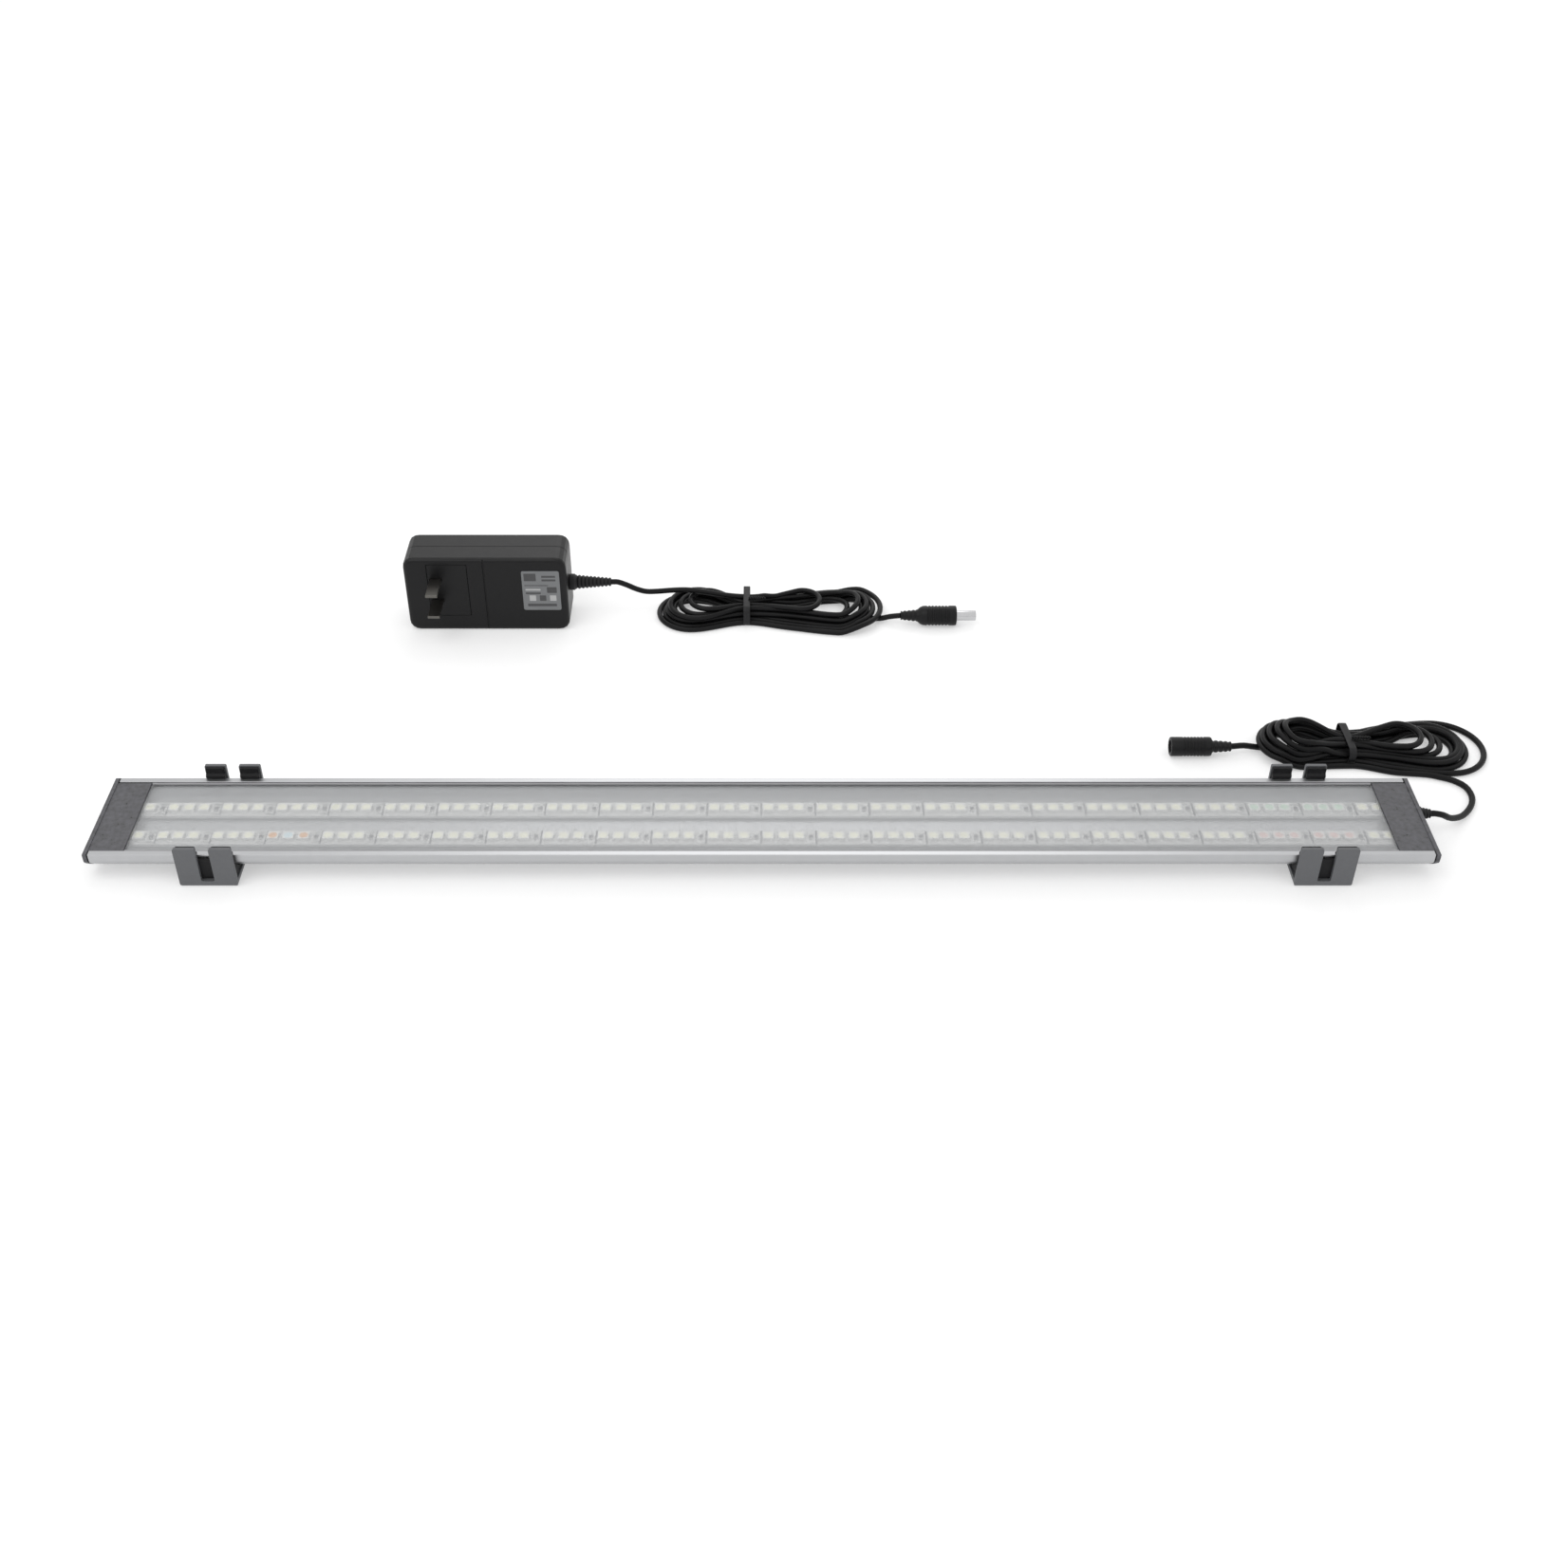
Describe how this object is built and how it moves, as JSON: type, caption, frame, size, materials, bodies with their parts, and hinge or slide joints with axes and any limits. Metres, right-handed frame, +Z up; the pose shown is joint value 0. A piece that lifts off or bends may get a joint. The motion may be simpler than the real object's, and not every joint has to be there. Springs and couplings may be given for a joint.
{
  "type": "led aquarium light",
  "caption": "Slim aluminium LED strip light with a clear lens, sliding saddle clips that straddle a tank's rim, a folded lead and a plug-in power adapter.",
  "frame": {"origin": "centre of the light's footprint, on the surface that its clips rest on, with the LEDs facing up", "axes": "+X along the light towards the end that its lead leaves, +Y across it towards the side that the adapter lies on, +Z up, the way the LEDs face"},
  "size_m": [0.6604, 0.247, 0.044],
  "materials": {
    "aluminium": "satin anodised",
    "clear_lens": "clear acrylic",
    "led_board": "white solder mask with pale yellow LED faces",
    "thermal_tape": "matt",
    "red_wire": "smooth",
    "cord_jacket": "smooth matt",
    "cord_boot": "matt",
    "end_cap": "fine texture",
    "clip_body": "fine texture",
    "black_rubber": "matt",
    "connector_shell": "fine texture",
    "adapter_case": "fine texture",
    "adapter_label": "printed grey, no text",
    "contact_steel": "nickel plated",
    "contact_brass": "nickel-washed brass",
    "circuit_board": "green solder mask",
    "ferrite": "matt",
    "capacitor_can": "sleeved"
  },
  "bodies": {
    "light": {"housing_extrusion": "aluminium", "lens_cover": "clear_lens", "led_board_front": "led_board", "led_board_rear": "led_board", "thermal_tape_front": "thermal_tape", "thermal_tape_rear": "thermal_tape", "board_jumper_positive": "red_wire", "board_jumper_negative": "cord_jacket", "lead_core_positive": "red_wire", "lead_core_negative": "cord_jacket", "end_cap_left": "end_cap", "end_cap_right": "end_cap", "end_gasket_left": "black_rubber", "end_gasket_right": "black_rubber", "end_screw_left_front": "contact_steel", "end_screw_left_rear": "contact_steel", "end_screw_right_front": "contact_steel", "end_screw_right_rear": "contact_steel", "lead_strain_relief": "cord_boot", "lead_cord": "cord_jacket", "lead_cord_end": "cord_jacket", "lead_hank": "cord_jacket", "lead_tie": "black_rubber", "socket_shell": "connector_shell", "socket_contact_sleeve": "contact_steel", "socket_center_pin": "contact_brass", "adapter_case_front": "adapter_case", "adapter_case_back": "adapter_case", "adapter_plug_insert": "adapter_case", "adapter_blade_upper": "contact_brass", "adapter_blade_lower": "contact_brass", "adapter_label": "adapter_label", "adapter_circuit_board": "circuit_board", "adapter_transformer": "ferrite", "adapter_capacitor_input": "capacitor_can", "adapter_capacitor_output": "capacitor_can", "adapter_strain_relief": "cord_boot", "adapter_cord": "cord_jacket", "adapter_cord_end": "cord_jacket", "adapter_hank": "cord_jacket", "adapter_tie": "black_rubber", "plug_handle": "connector_shell", "plug_barrel": "contact_steel", "plug_insulator": "connector_shell"},
    "left_clip": {"clip_left": "clip_body", "clip_liner_left": "black_rubber"},
    "right_clip": {"clip_right": "clip_body", "clip_liner_right": "black_rubber"}
  },
  "joints": [
    {"name": "left_clip_slide", "type": "slide", "parent": "light", "child": "left_clip", "axis": [1, 0, 0], "range_m": [-0.04, 0.233]},
    {"name": "right_clip_slide", "type": "slide", "parent": "light", "child": "right_clip", "axis": [1, 0, 0], "range_m": [-0.237, 0.038]}
  ]
}
